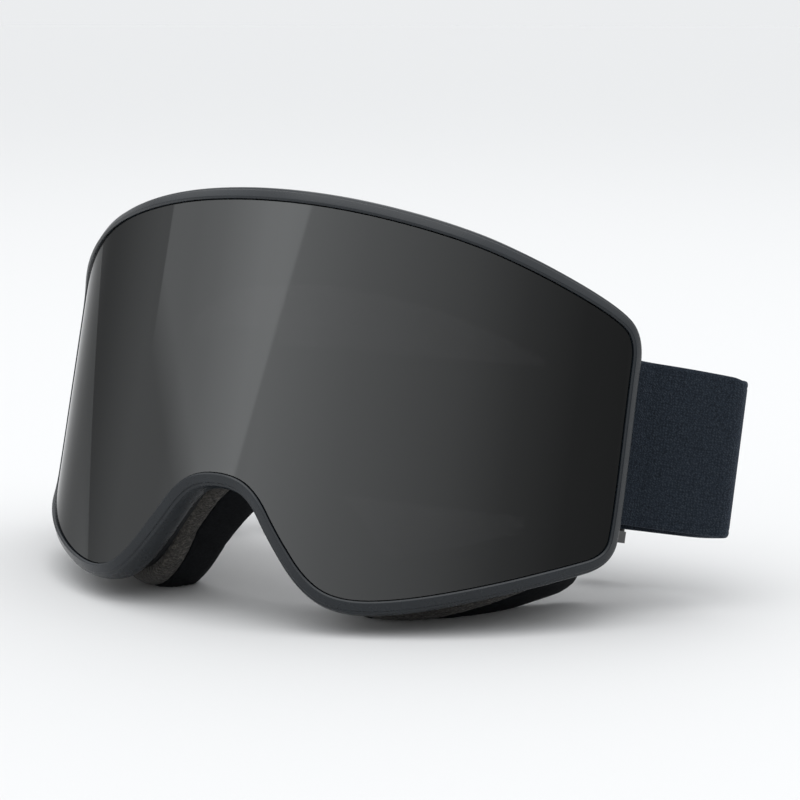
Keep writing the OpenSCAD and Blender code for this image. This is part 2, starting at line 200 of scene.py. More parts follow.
# Over the nose the wall keeps near the rim for longer: 1 is a straight wall
NOSE_DEPTH_POWER = 1.45
NOSE_POINTS = 24 * ROUNDS / CAD_ROUNDS
soft_outline = eased(OUTLINE, EASE_OUTLINE)
cheek = np.clip((CHEEK_Z - soft_outline[:, 1]) / CHEEK_H, 0, 1)
tall = np.where(soft_outline[:, 1] < FACE_MID_Z, FACE_H_SHARE[1], FACE_H_SHARE[0])
FACE_OUTLINE = np.stack([
    mixed(FACE_W_SHARE[0], FACE_W_SHARE[1], cheek) * LENS_R * np.sin(soft_outline[:, 0] / LENS_R),
    FACE_MID_Z + tall * (soft_outline[:, 1] - FACE_MID_Z)], axis=-1)
FACE_DIR = eased(left_normals(FACE_OUTLINE), EASE_DIR)
WALL_INSET = mixed(*WALL_INSETS, np.maximum(0, -IN_DIR[:, 1]))
nose_far = np.minimum(1, np.abs(np.arange(ROUNDS) - ROUNDS / 2) / NOSE_POINTS)
DEPTH_POWER = 1 + (NOSE_DEPTH_POWER - 1) * (1 + np.cos(math.pi * nose_far)) / 2


def on_face(outside):
    """The ring on the face, a vertical cylinder, that stands outside the face's outline."""
    p = FACE_OUTLINE + np.reshape(outside, (-1, 1)) * FACE_DIR
    y = FACE_Y + FACE_R - np.sqrt(FACE_R ** 2 - p[:, 0] ** 2)
    return np.stack([p[:, 0], y, p[:, 1]], axis=-1)


def on_wall(share, outside):
    """The ring that is share of the way from the rim's back to the face."""
    t = (share ** DEPTH_POWER)[:, None]
    return mixed(on_lens(outside - WALL_INSET, -RIM_D), on_face(outside), t)


# ---------------------------------------------------------------- mesh making

CORNER_STEPS = 4


def rounded(section):
    """A closed section of (a, b, cut) corners, each cut back and rounded with a curve."""
    p = np.array([s[:2] for s in section], float)
    cuts = [s[2] for s in section]
    out = []
    for i, cut in enumerate(cuts):
        before = p[i - 1] - p[i]
        after = p[(i + 1) % len(p)] - p[i]
        if cut <= 0:
            out.append(p[i])
            continue
        a = p[i] + before * min(0.49, cut / np.linalg.norm(before))
        b = p[i] + after * min(0.49, cut / np.linalg.norm(after))
        for k in range(CORNER_STEPS + 1):
            t = k / CORNER_STEPS
            out.append(mixed(mixed(a, p[i], t), mixed(p[i], b, t), t))
    return np.array(out)


def filled_in(section, gap):
    """The closed section with points added so that no side is longer than gap."""
    out = []
    for i in range(len(section)):
        a, b = section[i], section[(i + 1) % len(section)]
        count = max(1, math.ceil(np.linalg.norm(b - a) / gap))
        out += [mixed(a, b, k / count) for k in range(count)]
    return np.array(out)


def new_object(name, vertices, faces, uvs=None):
    """A smooth-shaded mesh object, with its faces turned outwards."""
    mesh = bpy.data.meshes.new(name)
    mesh.from_pydata([tuple(v) for v in vertices], [], faces)
    if uvs is not None:
        layer = mesh.uv_layers.new(name="UVMap")
        loops = np.zeros(len(mesh.loops), np.int32)
        mesh.loops.foreach_get("vertex_index", loops)
        layer.data.foreach_set("uv", np.asarray(uvs, np.float32)[loops].ravel())
    mesh.update()
    piece = bpy.data.objects.new(name, mesh)
    bpy.context.scene.collection.objects.link(piece)
    tidy = bmesh.new()
    tidy.from_mesh(mesh)
    bmesh.ops.recalc_face_normals(tidy, faces=tidy.faces)
    tidy.to_mesh(mesh)
    tidy.free()
    mesh.shade_smooth()
    return piece


def quad(i, j, n, m):
    """The face between rows i and i + 1 and between points j and j + 1 of an n x m tube."""
    up, across = (i + 1) % n, (j + 1) % m
    return (i * m + j, i * m + across, up * m + across, up * m + j)


def ring_faces(n, m, closed=True):
    """The faces of a tube with n rows of m points, joined end to end if closed."""
    return [quad(i, j, n, m) for i in range(n if closed else n - 1) for j in range(m)]


def ring(name, grid):
    """A closed ring from grid[section point][outline point], each a place in the row frame."""
    grid = np.asarray(grid)
    m, n = grid.shape[:2]
    vertices = grid.transpose(1, 0, 2).reshape(-1, 3)
    return new_object(name, vertices, ring_faces(n, m))


def lens_ring(name, section):
    """A closed ring from a section of (outside, front) points."""
    return ring(name, [placed(on_lens(o, d)) for o, d in section])


def on_table(piece):
    """Foam that would reach below the table lies flat on it."""
    co = np.zeros(len(piece.data.vertices) * 3, np.float32)
    piece.data.vertices.foreach_get("co", co)
    co = co.reshape(-1, 3)
    co[:, 2] = np.maximum(co[:, 2], 0)
    piece.data.vertices.foreach_set("co", co.ravel())
    piece.data.update()


def bevelled(piece, width, segments=3):
    """Rounds a piece's edges by width, in millimetres, with a modifier: its mesh stays as it is."""
    piece.data.shade_smooth()
    bevel = piece.modifiers.new("edges", "BEVEL")
    bevel.width = width / 1000
    bevel.segments = segments
    bevel.limit_method = "ANGLE"
    bevel.angle_limit = math.radians(35)
    bevel.harden_normals = True


# ---------------------------------------------------------------- materials

class Nodes:
    """Short names for building one material."""

    def __init__(self, name, colour, roughness, **sockets):
        self.material = bpy.data.materials.new(name)
        self.material.use_nodes = True
        self.tree = self.material.node_tree
        self.shader = self.tree.nodes["Principled BSDF"]
        self.set(self.shader, {"Base Color": (*colour, 1), "Roughness": roughness, **sockets})

    def set(self, node, values):
        for key, value in values.items():
            node.inputs[key].default_value = value

    def add(self, kind, values=None, **settings):
        node = self.tree.nodes.new(kind)
        for key, value in settings.items():
            setattr(node, key, value)
        self.set(node, values or {})
        return node

    def join(self, source, target):
        self.tree.links.new(source, target)

    def where(self, source="Object"):
        """Object or UV coordinates, in metres."""
        return self.add("ShaderNodeTexCoord").outputs[source]

    def noise(self, scale, detail=3.0, vector=None, roughness=0.5):
        node = self.add("ShaderNodeTexNoise",
                        {"Scale": scale, "Detail": detail, "Roughness": roughness})
        self.join(vector or self.where(), node.inputs["Vector"])
        return node.outputs["Fac"]

    def ramp(self, factor, stops):
        node = self.add("ShaderNodeValToRGB")
        elements = node.color_ramp.elements
        while len(elements) < len(stops):
            elements.new(0.5)
        for element, (position, colour) in zip(elements, stops):
            element.position = position
            element.color = (*colour, 1)
        self.join(factor, node.inputs["Fac"])
        return node.outputs["Color"]

    def scaled(self, factor, low, high):
        node = self.add("ShaderNodeMapRange", {"To Min": low, "To Max": high})
        self.join(factor, node.inputs["Value"])
        return node.outputs["Result"]

    def maths(self, operation, a, b=None):
        node = self.add("ShaderNodeMath", operation=operation)
        for socket, value in zip(node.inputs, (a, b)):
            if value is None:
                continue
            if isinstance(value, (int, float)):
                socket.default_value = value
            else:
                self.join(value, socket)
        return node.outputs["Value"]

    def bump(self, height, distance, strength=1.0, under=None):
        node = self.add("ShaderNodeBump", {"Strength": strength, "Distance": distance})
        self.join(height, node.inputs["Height"])
        if under is not None:
            self.join(under, node.inputs["Normal"])
        return node.outputs["Normal"]

    def colour(self, output):
        self.join(output, self.shader.inputs["Base Color"])

    def roughness(self, output):
        self.join(output, self.shader.inputs["Roughness"])

    def normal(self, output):
        self.join(output, self.shader.inputs["Normal"])


def shade(colour, factor):
    return tuple(c * factor for c in colour)


def moulded(name, colour, roughness, grain=0.00002):
    """Moulded plastic: fine spark-eroded grain, faint mottling of colour and gloss."""
    m = Nodes(name, colour, roughness, **{"Specular IOR Level": 0.4})
    cloud = m.noise(60, 4)
    m.colour(m.ramp(cloud, [(0.3, shade(colour, 0.86)), (0.7, shade(colour, 1.12))]))
    m.roughness(m.scaled(m.noise(240, 3), roughness - 0.07, roughness + 0.07))
    m.normal(m.bump(m.noise(2600, 2), grain))
    return m.material


RIM = moulded("rim_tpu", (0.009, 0.0125, 0.0165), 0.27)
FRAME = moulded("frame_tpu", (0.004, 0.0052, 0.007), 0.55)
HARD = moulded("hard_plastic", (0.006, 0.0065, 0.008), 0.38, 0.00003)


def metal(name, colour, roughness):
    """Plated metal with uneven gloss."""
    m = Nodes(name, colour, roughness, Metallic=1.0)
    m.roughness(m.scaled(m.noise(500, 4), roughness - 0.08, roughness + 0.1))
    m.colour(m.ramp(m.noise(90, 3), [(0.35, shade(colour, 0.85)), (0.7, colour)]))
    return m.material


NICKEL = metal("nickel", (0.6, 0.59, 0.56), 0.25)
STEEL = metal("black_steel", (0.16, 0.16, 0.17), 0.35)


def open_cell():
    """Grey-brown sponge: pale cell walls round pores darkened with painted shade, with flecks."""
    m = Nodes("foam_sponge", (0.05, 0.045, 0.04), 0.95, **{"Sheen Weight": 0.15})
    cells = m.add("ShaderNodeTexVoronoi", {"Scale": 1500.0}, feature="F1")
    m.join(m.where(), cells.inputs["Vector"])
    distance = cells.outputs["Distance"]
    fleck = m.noise(1100, 2, roughness=0.7)
    tint = m.ramp(fleck, [(0.3, (0.026, 0.024, 0.022)), (0.55, (0.06, 0.055, 0.049)),
                          (0.75, (0.15, 0.138, 0.12))])
    mix = m.add("ShaderNodeMix", data_type="RGBA", blend_type="MULTIPLY")
    mix.inputs["Factor"].default_value = 0.6
    m.join(tint, mix.inputs[6])
    # Painted shade: the colour darkens to a quarter towards each cell's middle, as shade in the pores
    m.join(m.ramp(distance, [(0.0, (0.25, 0.25, 0.25)), (0.5, (1, 1, 1))]), mix.inputs[7])
    m.colour(mix.outputs[2])
    m.normal(m.bump(distance, 0.0004, 0.8, m.bump(fleck, 0.0003, 0.6)))
    return m.material


def dense_foam():
    m = Nodes("foam_face", (0.003, 0.004, 0.0055), 0.9, **{"Specular IOR Level": 0.25})
    m.colour(m.ramp(m.noise(1400, 3, roughness=0.7), [(0.35, (0.0012, 0.0018, 0.0026)),
                                                       (0.7, (0.006, 0.0075, 0.01))]))
    m.normal(m.bump(m.noise(1800, 3, roughness=0.7), 0.00025, 0.7))
    return m.material


def fleece():
    """Short brushed pile."""
    m = Nodes("fleece", (0.008, 0.008, 0.01), 1.0, **{"Sheen Weight": 0.5, "Sheen Roughness": 0.4,
              "Sheen Tint": (0.5, 0.5, 0.55, 1)})
    pile = m.noise(2200, 5, roughness=0.75)
    m.colour(m.ramp(pile, [(0.35, (0.004, 0.004, 0.005)), (0.7, (0.016, 0.016, 0.019))]))
    m.normal(m.bump(pile, 0.0006, 0.8, m.bump(m.noise(380, 4), 0.0005, 0.5)))
    return m.material


def filter_foam():
    m = Nodes("vent_mesh", (0.008, 0.008, 0.009), 0.95)
    cells = m.add("ShaderNodeTexVoronoi", {"Scale": 900.0}, feature="DISTANCE_TO_EDGE")
    m.join(m.where(), cells.inputs["Vector"])
    distance = cells.outputs["Distance"]
    # Painted shade: each cell's middle, the hollow in the filter, is painted near black, and its edges
    # are left paler
    m.colour(m.ramp(distance, [(0.0, (0.02, 0.02, 0.022)), (0.25, (0.003, 0.003, 0.003))]))
    m.normal(m.bump(distance, -0.0006, 1.0))
    return m.material


def gasket_foam():
    m = Nodes("gasket_foam", (0.008, 0.008, 0.009), 0.9)
    m.normal(m.bump(m.noise(1500, 3), 0.0002, 0.6))
    return m.material


def silicone():
    m = Nodes("silicone", (0.014, 0.016, 0.02), 0.32, **{"Coat Weight": 0.3, "Coat Roughness": 0.2})
    m.roughness(m.scaled(m.noise(300, 3), 0.26, 0.4))
    return m.material


# Distance between the elastic's ribs and between its weft threads, in metres
RIB_GAP = 0.0007
WEFT_GAP = 0.0008


def webbing():
    """Knitted elastic: ribs along the strap crossed by fine weft, in the strap's own metres."""
    dark, blue, pale = (0.0055, 0.008, 0.012), (0.0145, 0.021, 0.0305), (0.034, 0.041, 0.05)
    m = Nodes("webbing", blue, 0.85, **{"Sheen Weight": 0.12, "Sheen Roughness": 0.5,
              "Sheen Tint": (0.45, 0.55, 0.75, 1), "Specular IOR Level": 0.15})
    place = m.where("UV")
    split = m.add("ShaderNodeSeparateXYZ")
    m.join(place, split.inputs["Vector"])
    along, across = split.outputs["X"], split.outputs["Y"]
    wander = m.maths("MULTIPLY", m.noise(900, 3, place), 0.0022)
    rib, weft = (m.maths("SINE", m.maths("MULTIPLY", m.maths("ADD", way, wander), 2 * math.pi / gap))
                 for way, gap in ((across, RIB_GAP), (along, WEFT_GAP)))
    weave = m.maths("MULTIPLY", m.maths("ADD", rib, 1.6), m.maths("ADD", weft, 1.6))
    fuzz = m.noise(1500, 4, roughness=0.8)
    height = m.maths("ADD", m.maths("MULTIPLY", weave, 0.1), fuzz)
    # Painted shade and highlight: the colour is paler on the weave's raised threads and darker in its
    # hollows; the fuzz adds random tone
    weave_shade_and_fuzz_tone = m.maths("ADD", m.maths("MULTIPLY", weave, 0.045), m.maths("MULTIPLY", fuzz, 0.8))
    m.colour(m.ramp(weave_shade_and_fuzz_tone, [(0.35, dark), (0.55, blue), (0.8, pale)]))
    m.normal(m.bump(height, 0.00022, 0.9))
    return m.material


def thread():
    m = Nodes("thread", (0.012, 0.015, 0.022), 0.6, **{"Sheen Weight": 0.3})
    twist = m.add("ShaderNodeTexWave", {"Scale": 900.0, "Distortion": 1.0}, bands_direction="DIAGONAL")
    m.join(m.where(), twist.inputs["Vector"])
    m.normal(m.bump(twist.outputs["Fac"], 0.0001))
    return m.material


def mirror_tint():
    """Dark polycarbonate with a weak grey metal flash: a little light still comes through."""
    m = Nodes("lens_tint", (0.11, 0.112, 0.112), 0.035, Metallic=1.0, Alpha=0.93)
    m.set(m.shader, {"Specular Tint": (0.45, 0.45, 0.45, 1)})
    m.roughness(m.scaled(m.noise(40, 3), 0.02, 0.045))
    return m.material


def clear_lens():
    m = Nodes("lens_clear", (0.5, 0.5, 0.48), 0.03, Alpha=0.2)
    m.roughness(m.scaled(m.noise(40, 3), 0.02, 0.05))
    return m.material


SPONGE, DENSE, FLEECE = open_cell(), dense_foam(), fleece()
VENT, GASKET, SILICONE = filter_foam(), gasket_foam(), silicone()
WEBBING, THREAD = webbing(), thread()
LENS_TINT, LENS_CLEAR = mirror_tint(), clear_lens()


def made(piece, body, material, slot, *nodes):
    """Gives a finished piece its material and its body, and hides the CAD nodes that it stands for."""
    piece.data.materials.append(material)
    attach(piece, body)
    if nodes:
        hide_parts(*nodes)


def painted(node, material, bevel=0.0):
    """A CAD node that stays, with its own material and softened edges."""
    piece = NODES[node]
    piece.data.materials.clear()
    piece.data.materials.append(material)
    if bevel:
        bevelled(piece, bevel)


# ---------------------------------------------------------------- lens

# Distance between a lens's mesh points, and the least distance of one from the border
LENS_STEP = 2.4
LENS_MARGIN = 0.6 * LENS_STEP
LENS_EDGE_R = 0.15


def lens_sheet(name, outside, front, thick):
    """A curved sheet cut to the outline, with rounded edges."""
    edge = LENS_EDGE_R
    border = flat_at(outside - edge)
    low, high = border.min(0), border.max(0)
    xs = np.arange(low[0] + LENS_STEP, high[0], LENS_STEP)
    ys = np.arange(low[1] + LENS_STEP, high[1], LENS_STEP)
    inner = np.array([(x, y) for x in xs for y in ys])
    inner = inner[inside_of(border, inner) & (far_from(border, inner) > LENS_MARGIN)]
    flat = [Vector(p) for p in np.vstack([border, inner])]
    count = len(border)
    points, _, triangles, _, _, _ = geometry.delaunay_2d_cdt(flat, [], [list(range(count))], 1, 1e-5)
    flat = np.array([tuple(p) for p in points])
    turns = [(edge * (1 - math.cos(a)), edge * (1 - math.sin(a))) for a in np.linspace(0, math.pi / 2, 4)]
    rim = [(outside - a, front - b) for a, b in reversed(turns[:-1])]
    rim += [(outside - a, front - thick + b) for a, b in turns[:-1]]
    vertices = [rolled(flat, front)] + [on_lens(o, d) for o, d in rim] + [rolled(flat, front - thick)]
    start = len(flat)
    faces = [tuple(t) for t in triangles]
    back = start + count * len(rim)
    faces += [tuple(back + k for k in reversed(t)) for t in triangles]
    rows = [0] + [start + count * k for k in range(len(rim))] + [back]
    for a, b in zip(rows, rows[1:]):
        for i in range(count):
            j = (i + 1) % count
            faces.append((a + i, a + j, b + j, b + i))
    vertices = np.vstack(vertices)
    piece = new_object(name, placed(vertices), faces)
    radial = vertices * (1, 1, 0) / np.linalg.norm(vertices[:, :2], axis=1)[:, None]
    centre = (len(rim) + 1) / 2
    normals = np.zeros_like(vertices)
    normals[:start] = radial[:start]
    normals[back:] = -radial[back:]
    for k, (o, d) in enumerate(rim):
        here = slice(start + count * k, start + count * (k + 1))
        lift = 1 - (k + 1) / centre
        sideways = OUT_DIR if outside >= 0 else IN_DIR
        angle = flat_at(o)[:, 0] / LENS_R
        side = np.stack([sideways[:, 0] * np.cos(angle), sideways[:, 0] * np.sin(angle),
                         sideways[:, 1]], axis=-1)
        normals[here] = side * math.sqrt(max(0, 1 - lift ** 2)) + radial[here] * lift
    piece.data.normals_split_custom_set_from_vertices([tuple(v) for v in turned(normals)])
    return piece


def inside_of(border, points):
    """Whether each point is inside the closed border."""
    inside = np.zeros(len(points), bool)
    for a, b in zip(border, np.roll(border, -1, 0)):
        crosses = (a[1] > points[:, 1]) != (b[1] > points[:, 1])
        if abs(b[1] - a[1]) > 1e-12:
            meets = a[0] + (points[:, 1] - a[1]) * (b[0] - a[0]) / (b[1] - a[1])
            inside ^= crosses & (points[:, 0] < meets)
    return inside


def far_from(border, points):
    """Each point's distance from the nearest point of the border."""
    return np.array([np.min(np.linalg.norm(border - p, axis=1)) for p in points])


CARRIER_OUT = -0.4
CARRIER_IN = -6.5
GASKET_IN = -10.0
CARRIER_BACK = -5.4
GLASS_BACK = -LENS_T - AIR_GAP
# Room for glue between the lenses and what holds them, and the inner lens's step inwards
GLUE = 0.06
INNER_STEP = 0.3
GASKET_STEP = 0.4


def build_lens():
    outer = lens_sheet("lens_front", 0, 0, LENS_T)
    made(outer, "lens", LENS_TINT, "lens_tint", "lens_outer")
    inner = lens_sheet("lens_back", CARRIER_IN - INNER_STEP, GLASS_BACK, INNER_LENS_T)
    made(inner, "lens", LENS_CLEAR, "lens_clear", "lens_inner")
    front, back, gasket_out = -LENS_T - GLUE, GLASS_BACK + GLUE, CARRIER_IN - GASKET_STEP
    gasket = lens_ring("lens_gasket_foam", rounded([
        (gasket_out, front, 0.1), (gasket_out, back, 0.1),
        (GASKET_IN, back, 0.4), (GASKET_IN, front, 0.4)]))
    made(gasket, "lens", GASKET, "gasket_foam", "lens_gasket")
    carrier = lens_ring("lens_carrier_ring", rounded([
        (CARRIER_OUT, front, 0.15), (CARRIER_OUT, CARRIER_BACK, 0.5),
        (CARRIER_IN, CARRIER_BACK, 0.5), (CARRIER_IN, front, 0.15)]))
    made(carrier, "lens", HARD, "hard_plastic", "lens_carrier")
    painted("lens_magnets", NICKEL, 0.25)


# ---------------------------------------------------------------- frame

def build_rim():
    """A bevelled front edge, a crease, a rounded flank and a shelf behind the lens."""
    shelf_front = SHELF_T - RIM_D
    section = rounded([
        (EDGE_GAP, shelf_front, 0.2), (SEEN_GAP, 0.5, 0.1), (0.6, 0.95, 0.2),
        (2.45, 0.05, 0.15), (2.6, -0.5, 0.12), (3.15, -0.75, 0.3),
        (RIM_W, -3.2, 1.6), (3.35, -6.3, 1.3),
        (2.2, -RIM_D, 0.6), (SHELF_IN, -RIM_D, 0.3), (SHELF_IN, shelf_front, 0.3)])
    made(lens_ring("rim", section), "frame", RIM, "rim_tpu", "frame_rim")
    painted("frame_magnets", NICKEL, 0.25)


# Middles of the air holes, in the CAD model's points round the outline, and half a hole's length
VENT_SPOTS = (-22, -17, -12, -7, -2, 3, 8, 13, 18, 46, 50, 54, 87, 91, 95)
VENT_HALF = 7
# The wall's points, as shares of the way to the face, and the points that a hole is between
WALL_SHARES = [0.004, 0.06, 0.085, 0.11, 0.14, 0.17, 0.195, 0.215, 0.26]
VENT_WINDOW = (2, 6)


def build_chassis():
    """The wall and its foam flange, with air holes cut through both skins of the wall."""
    wall = [(s, 0.0) for s in WALL_SHARES]
    flange = [(WALL_SHARE - 0.008, 0.0), (WALL_SHARE, -0.3), (WALL_SHARE, -1.2), (WALL_SHARE, -5),
              (WALL_SHARE, 0.6 - FLANGE_W), (WALL_SHARE - 0.012, -FLANGE_W),
              (WALL_SHARE - 0.04, -FLANGE_W), (WALL_SHARE - 0.05, 0.5 - FLANGE_W),
              (WALL_SHARE - 0.06, -5), (WALL_SHARE - 0.07, -WALL_T - 1.2)]
    inside = [(s, -WALL_T) for s in reversed(WALL_SHARES)]
    section = wall + flange + inside
    m, n = len(section), ROUNDS
    grid = np.array([placed(on_wall(t, w)) for t, w in section])
    vertices = grid.transpose(1, 0, 2).reshape(-1, 3)
    per_point = ROUNDS // CAD_ROUNDS
    open_columns = {(spot * per_point + k) % n
                    for spot in VENT_SPOTS for k in range(-VENT_HALF, VENT_HALF)}
    first, last = VENT_WINDOW
    open_rows = {*range(first, last), *range(m - 1 - last, m - 1 - first)}
    faces = [quad(i, j, n, m) for i in range(n) for j in range(m)
             if i not in open_columns or j not in open_rows]
    for i in sorted(open_columns):
        after = (i + 1) % n
        for j in VENT_WINDOW:
            opposite = m - 1 - j
            faces.append((i * m + j, after * m + j, after * m + opposite, i * m + opposite))
        for edge, beside in ((i, (i - 1) % n), (after, after)):
            if beside not in open_columns:
                for j in range(first, last):
                    opposite = m - 1 - j
                    faces.append((edge * m + j, edge * m + j + 1,
                                  edge * m + opposite - 1, edge * m + opposite))
    piece = new_object("chassis", vertices, faces)
    drop_loose(piece)
    bevelled(piece, 0.35, 2)
    made(piece, "frame", FRAME, "frame_tpu", "frame_chassis")


def drop_loose(piece):
    """Deletes the points that the air holes leave without a face."""
    tidy = bmesh.new()
    tidy.from_mesh(piece.data)
    loose = [v for v in tidy.verts if not v.link_faces]
    bmesh.ops.delete(tidy, geom=loose, context="VERTS")
    tidy.to_mesh(piece.data)
    tidy.free()


# ---------------------------------------------------------------- foam

# How far each point of the outline is down on the two cheeks, from 0 to 1
ON_CHEEK_Z = -14
ON_CHEEK_H = 10
ON_CHEEK = np.clip((ON_CHEEK_Z - soft_outline[:, 1]) / ON_CHEEK_H, 0, 1) ** 0.7
SWELL_FRAMES = 14
SWELL_EVERY = 4
# Height of the sponge's pulled-in middle and of the dense layer's crowns, as shares of the depth
SPONGE_WAIST = SPONGE_SHARE - 0.11
FACE_CROWN = SPONGE_SHARE + 0.14
# Clearance in depth between two layers
LAYER_GAP = 0.004


def rough_up(piece, amount, size):
    """Pushes the surface in and out by up to amount, in millimetres, like cut foam."""
    texture = bpy.data.textures.new(piece.name + "_cells", "CLOUDS")
    texture.noise_scale = size / 1000
    texture.noise_depth = 2
    push = piece.modifiers.new("cells", "DISPLACE")
    push.texture = texture
    push.texture_coords = "LOCAL"
    push.strength = 2 * amount / 1000
    push.mid_level = 0.5


def wall_depth():
    """Typical distance in millimetres from the rim's back to the face."""
    return float(np.median(np.linalg.norm(on_wall(1.0, 0) - on_wall(0.0, 0), axis=1)))


def foam_grid(section, gap, cheek_bulge=(0, 0)):
    """Places of a foam layer, from a section of (share of the depth, outside, cut) corners.

    cheek_bulge is how far, in millimetres, the outer side reaches out on the cheeks, at the
    layer's front and at its back.
    """
    depth = wall_depth()
    points = filled_in(rounded([(t * depth, w, cut) for t, w, cut in section]), gap)
    shares = points[:, 0] / depth
    back = (shares - shares.min()) / (shares.max() - shares.min())
    outer = np.clip(1 + points[:, 1] / 5, 0, 1)
    bulge = mixed(cheek_bulge[0], cheek_bulge[1], back) * outer
    return np.array([placed(on_wall(t, w + k * ON_CHEEK))
                     for t, w, k in zip(shares, points[:, 1], bulge)]), back


def swollen(grid, held, pressure, cap):
    """The layer after a cloth simulation with air pressure in it, moved cap millimetres at most.

    It runs on every fourth ring of points, with the held ones fixed, and the fine rings follow.
    The pressure hardly moves foam this stiff: 0.2 mm at most, and less than 0.02 mm on average.
    """
    coarse = grid[:, ::SWELL_EVERY]
    m, n = coarse.shape[:2]
    piece = ring("swelling", coarse)
    group = piece.vertex_groups.new(name="held")
    group.add([i * m + j for i in range(n) for j in range(m) if held[j]], 1.0, "REPLACE")
    cloth = piece.modifiers.new("cloth", "CLOTH")
    cloth.settings.use_pressure = True
    cloth.settings.uniform_pressure_force = pressure
    cloth.settings.vertex_group_mass = "held"
    cloth.settings.effector_weights.gravity = 0
    cloth.collision_settings.use_collision = False
    cloth.point_cache.frame_start, cloth.point_cache.frame_end = 1, SWELL_FRAMES
    for step in range(1, SWELL_FRAMES + 1):
        bpy.context.scene.frame_set(step)
    result = piece.evaluated_get(bpy.context.evaluated_depsgraph_get()).data
    places = np.zeros(m * n * 3, np.float32)
    result.vertices.foreach_get("co", places)
    bpy.context.scene.frame_set(1)
    bpy.data.objects.remove(piece)
    move = places.reshape(n, m, 3).transpose(1, 0, 2) - coarse
    size = np.linalg.norm(move, axis=-1, keepdims=True)
    move *= np.minimum(1, cap / 1000 / np.maximum(size, 1e-9))
    spots = np.arange(n * SWELL_EVERY) / SWELL_EVERY
    around = np.concatenate([move, move[:, :1]], axis=1)
    return grid + np.stack([[np.interp(spots, np.arange(n + 1), row[:, k]) for row in around]
                            for k in range(3)], axis=-1)


def build_foam():
    front = WALL_SHARE + LAYER_GAP
    grid, back = foam_grid([
        (front, -0.4, 0.8), (SPONGE_WAIST, 0.2, 2.0),
        (SPONGE_SHARE, -0.2, 0.8), (SPONGE_SHARE, -FLANGE_W - 0.4, 0.8),
        (SPONGE_WAIST, -FLANGE_W - 0.6, 2.0), (front, -FLANGE_W + 0.3, 0.8)],
        0.8, (2.4, 3.3))
    sponge = ring("sponge_layer", swollen(grid, (back < 0.1) | (back > 0.9), 3.0, 0.3))
    on_table(sponge)
    rough_up(sponge, 0.12, 0.9)
    made(sponge, "frame", SPONGE, "foam_sponge", "foam_sponge")
    front = SPONGE_SHARE + LAYER_GAP
    grid, back = foam_grid([
        (front, 0.0, 0.7), (FACE_CROWN, 0.9, 3.0), (0.9, 0.7, 2.0),
        (0.975, -0.8, 1.6), (0.975, -FLANGE_W - 0.2, 1.6), (0.9, -FLANGE_W - 1.3, 2.0),
        (FACE_CROWN, -FLANGE_W - 1.2, 3.0), (front, -FLANGE_W - 0.5, 0.7)],
        0.9, (3.3, 0.6))
    face = ring("face_layer", swollen(grid, (back < 0.06) | (back > 0.97), 4.0, 0.6))
    on_table(face)
    rough_up(face, 0.06, 1.2)
    made(face, "frame", DENSE, "foam_face", "foam_face")
    grid, back = foam_grid([
        (0.976, -1.4, 0.4), (1.0, -2.2, 0.8), (1.012, -FLANGE_W / 2 - 0.4, 3.0),
        (1.0, -FLANGE_W + 1.3, 0.8), (0.976, -FLANGE_W + 0.5, 0.4)], 0.8)
    pile = ring("fleece_layer", swollen(grid, back < 0.1, 3.0, 0.4))
    on_table(pile)
    rough_up(pile, 0.1, 1.5)
    made(pile, "frame", FLEECE, "fleece", "face_fleece")
    for side in ("top", "left", "right"):
        painted("vent_mesh_" + side, VENT)


# ---------------------------------------------------------------- strap

REAR_Y = STRAP_BACK + LAYER_SHIFT
INNER_REAR_Y = STRAP_BACK - LAYER_SHIFT
# Where the inner layer ends and the adjuster's tail starts
TAIL_X = 80.0
# The adjuster's middle bar, inside the band with the tail sewn round it
BAR_Y = REAR_Y - STRAP_T / 2 - ADJUSTER_GAP - STRAP_T - EYE_SLACK - CENTRE_BAR_R
# Degrees of turn to each point of a fillet
FILLET_STEP = 6
# Where the strap's two layers part behind the clip, as a distance from the clip's bar
LAYERS_PART = 6
# The strap's turn round the clip's bar, in degrees from the way that it leaves the bar
BAR_TURN = (78, 282)
# The way that the strap leaves the clip's bar
STRAP_WAY = (FOLD - BAR) / np.linalg.norm(FOLD - BAR)


def fillet(a, b, c, r):
    """Corner b of a path, rounded off with radius r."""
    p = (a - b) / np.linalg.norm(a - b)
    q = (c - b) / np.linalg.norm(c - b)
    half = math.acos(float(p @ q)) / 2
    middle = b + (p + q) / np.linalg.norm(p + q) * r / math.sin(half)
    first = b + p * r / math.tan(half) - middle
    last = b + q * r / math.tan(half) - middle
    a0 = math.atan2(first[1], first[0])
    turn = (math.atan2(last[1], last[0]) - a0 + 3 * math.pi) % (2 * math.pi) - math.pi
    count = math.ceil(abs(math.degrees(turn)) / FILLET_STEP)
    return [middle + r * np.array([math.cos(a0 + turn * k / count), math.sin(a0 + turn * k / count)])
            for k in range(count + 1)]


def path_normals(path):
    """Directions to the right of a path."""
    d = np.gradient(path, axis=0)
    d /= np.linalg.norm(d, axis=1, keepdims=True)
    return np.stack([d[:, 1], -d[:, 0]], axis=-1)


def resampled(path, gap):
    """The path with points at even distances of about gap."""
    path = np.asarray(path, float)
    runs = np.concatenate([[0], np.cumsum(np.linalg.norm(np.diff(path, axis=0), axis=1))])
    count = max(2, round(runs[-1] / gap) + 1)
    spots = np.linspace(0, runs[-1], count)
    return np.stack([np.interp(spots, runs, path[:, k]) for k in range(2)], axis=-1)


# The elastic's rounded edge and the furrow beside it
WOVEN_EDGE = 1.1
HEM_GROOVE = 0.1
HEM_GROOVE_AT = 1.8
HEM_GROOVE_W = 0.3
# The fold pulls the strap's edges together: how far at most, and over what distance from the fold
FOLD_PINCH = ((0.5, 16), (0.9, 2.2))
HEM_HEIGHTS = np.array([0, 0.12, 0.4, 0.75, WOVEN_EDGE, 1.5, HEM_GROOVE_AT, 2.1, 2.5, 3.2])


